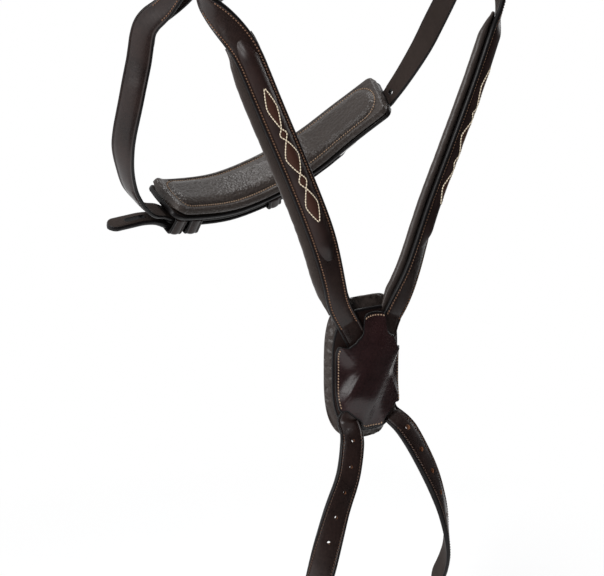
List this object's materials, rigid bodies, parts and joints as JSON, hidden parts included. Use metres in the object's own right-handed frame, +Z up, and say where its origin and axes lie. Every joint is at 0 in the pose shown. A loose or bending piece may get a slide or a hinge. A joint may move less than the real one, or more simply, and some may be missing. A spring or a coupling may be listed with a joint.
{
  "type": "figure eight bridle",
  "caption": "Leather figure eight bridle with padded crossed noseband, nose disc, jaw pad strap, cheekpieces, browband and throatlatch.",
  "frame": {"origin": "middle of the flat underside of the headpiece's padded lining, where it rests on the poll", "axes": "+Z up, the bridle hangs down along -Z. -Y is the way the horse faces, +X is the horse's left (near) side"},
  "size_m": [0.2839, 0.2663, 0.9216],
  "materials": {
    "havana_leather": "satin",
    "black_lining_leather": "satin",
    "padded_lining": "matt, padded",
    "buckle_steel": "polished stainless"
  },
  "bodies": {
    "headpiece": {"headpiece_lining": "padded_lining", "headpiece_strap": "havana_leather", "browband": "havana_leather", "noseband_crown_strap": "havana_leather", "noseband_near_strap": "havana_leather", "noseband_buckle": "buckle_steel", "cheek_ring_left": "buckle_steel", "cheek_ring_right": "buckle_steel"},
    "cheekpiece_left": {"cheek_billet_left": "havana_leather", "cheek_left_buckle": "buckle_steel", "cheek_strap_left": "havana_leather", "cheek_stud_left": "buckle_steel"},
    "cheekpiece_right": {"cheek_billet_right": "havana_leather", "cheek_right_buckle": "buckle_steel", "cheek_strap_right": "havana_leather", "cheek_stud_right": "buckle_steel"},
    "throatlatch": {"throat_billet": "havana_leather", "throat_buckle": "buckle_steel", "throat_strap": "havana_leather"},
    "front_noseband": {"front_lining_left": "padded_lining", "front_lining_right": "padded_lining", "cross_strap_left": "havana_leather", "cross_strap_right": "havana_leather", "front_raised_strip_left": "havana_leather", "front_raised_strip_right": "havana_leather", "disc_base_plate": "havana_leather", "disc_cover": "havana_leather", "disc_lining": "padded_lining", "chin_strap": "havana_leather", "chin_left_buckle": "buckle_steel", "chin_right_buckle": "buckle_steel"},
    "jaw_strap": {"jaw_strap_left": "black_lining_leather", "jaw_strap_right": "havana_leather", "jaw_buckle": "buckle_steel", "jaw_pad_back": "havana_leather", "jaw_pad_lining": "padded_lining", "jaw_keeper_a": "havana_leather", "jaw_keeper_b": "havana_leather", "jaw_keeper_c": "havana_leather"},
    "slip_loop": {"slip_loop": "black_lining_leather"},
    "noseband_tongue": {"noseband_tongue": "buckle_steel"},
    "noseband_keeper": {"noseband_keeper": "havana_leather"},
    "cheek_left_tongue": {"cheek_left_tongue": "buckle_steel"},
    "cheek_keeper_left": {"cheek_keeper_left": "havana_leather"},
    "cheek_right_tongue": {"cheek_right_tongue": "buckle_steel"},
    "cheek_keeper_right": {"cheek_keeper_right": "havana_leather"},
    "throat_tongue": {"throat_tongue": "buckle_steel"},
    "throat_keeper": {"throat_keeper": "havana_leather"},
    "jaw_tongue": {"jaw_tongue": "buckle_steel"},
    "chin_left_tongue": {"chin_left_tongue": "buckle_steel"},
    "chin_keeper_left": {"chin_keeper_left": "havana_leather"},
    "chin_right_tongue": {"chin_right_tongue": "buckle_steel"},
    "chin_keeper_right": {"chin_keeper_right": "havana_leather"}
  },
  "joints": [
    {"name": "front_swing", "type": "hinge", "parent": "headpiece", "child": "front_noseband", "pos_m": [0, -0.01, -0.33], "axis": [1, 0, 0], "range_deg": [-50, 6]},
    {"name": "jaw_swing", "type": "hinge", "parent": "headpiece", "child": "jaw_strap", "pos_m": [0, -0.01, -0.33], "axis": [1, 0, 0], "range_deg": [-6, 25]},
    {"name": "cheek_swing_left", "type": "hinge", "parent": "headpiece", "child": "cheekpiece_left", "pos_m": [0.10721, -0.0105, -0.11245], "axis": [1, 0, 0], "range_deg": [-30, 2]},
    {"name": "cheek_swing_right", "type": "hinge", "parent": "headpiece", "child": "cheekpiece_right", "pos_m": [-0.10721, -0.0105, -0.11245], "axis": [1, 0, 0], "range_deg": [-30, 2]},
    {"name": "throat_swing", "type": "hinge", "parent": "headpiece", "child": "throatlatch", "pos_m": [0, 0.0125, -0.11095], "axis": [1, 0, 0], "range_deg": [-2, 30]},
    {"name": "noseband_tongue_lift", "type": "hinge", "parent": "headpiece", "child": "noseband_tongue", "pos_m": [0.111, -0.01, -0.236], "axis": [0, 1, 0], "range_deg": [0, 12]},
    {"name": "noseband_keeper_slide", "type": "slide", "parent": "headpiece", "child": "noseband_keeper", "axis": [0, 0, 1], "range_m": [-0.004, 0.004]},
    {"name": "cheek_left_tongue_lift", "type": "hinge", "parent": "cheekpiece_left", "child": "cheek_left_tongue", "pos_m": [0.131, -0.0105, -0.196], "axis": [0, 1, 0], "range_deg": [0, 12]},
    {"name": "cheek_left_keeper_slide", "type": "slide", "parent": "cheekpiece_left", "child": "cheek_keeper_left", "axis": [0, 0, 1], "range_m": [-0.004, 0.004]},
    {"name": "cheek_right_tongue_lift", "type": "hinge", "parent": "cheekpiece_right", "child": "cheek_right_tongue", "pos_m": [-0.131, -0.0105, -0.196], "axis": [0, -1, 0], "range_deg": [0, 12]},
    {"name": "cheek_right_keeper_slide", "type": "slide", "parent": "cheekpiece_right", "child": "cheek_keeper_right", "axis": [0, 0, 1], "range_m": [-0.004, 0.004]},
    {"name": "throat_tongue_lift", "type": "hinge", "parent": "throatlatch", "child": "throat_tongue", "pos_m": [0.117, 0.0125, -0.178], "axis": [0, 1, 0], "range_deg": [0, 12]},
    {"name": "throat_keeper_slide", "type": "slide", "parent": "throatlatch", "child": "throat_keeper", "axis": [0, 0, 1], "range_m": [-0.004, 0.004]},
    {"name": "jaw_tongue_lift", "type": "hinge", "parent": "jaw_strap", "child": "jaw_tongue", "pos_m": [0.05873, 0.10802, -0.49896], "axis": [-0.0034, 0.8986, 0.4387], "range_deg": [0, 12]},
    {"name": "chin_left_tongue_lift", "type": "hinge", "parent": "front_noseband", "child": "chin_left_tongue", "pos_m": [0.058, -0.052, -0.815], "axis": [0.28, 0.96, 0], "range_deg": [0, 12]},
    {"name": "chin_left_keeper_slide", "type": "slide", "parent": "front_noseband", "child": "chin_keeper_left", "axis": [0, 0, 1], "range_m": [-0.004, 0.004]},
    {"name": "chin_right_tongue_lift", "type": "hinge", "parent": "front_noseband", "child": "chin_right_tongue", "pos_m": [-0.058, -0.052, -0.815], "axis": [0.28, -0.96, 0], "range_deg": [0, 12]},
    {"name": "chin_right_keeper_slide", "type": "slide", "parent": "front_noseband", "child": "chin_keeper_right", "axis": [0, 0, 1], "range_m": [-0.004, 0.004]},
    {"name": "slip_loop_slide", "type": "hinge", "parent": "jaw_strap", "child": "slip_loop", "pos_m": [-0.05712, 0.0668, -0.47429], "axis": [-0.0901, 0.8572, 0.507], "range_deg": [-1.2, 1.2]}
  ]
}
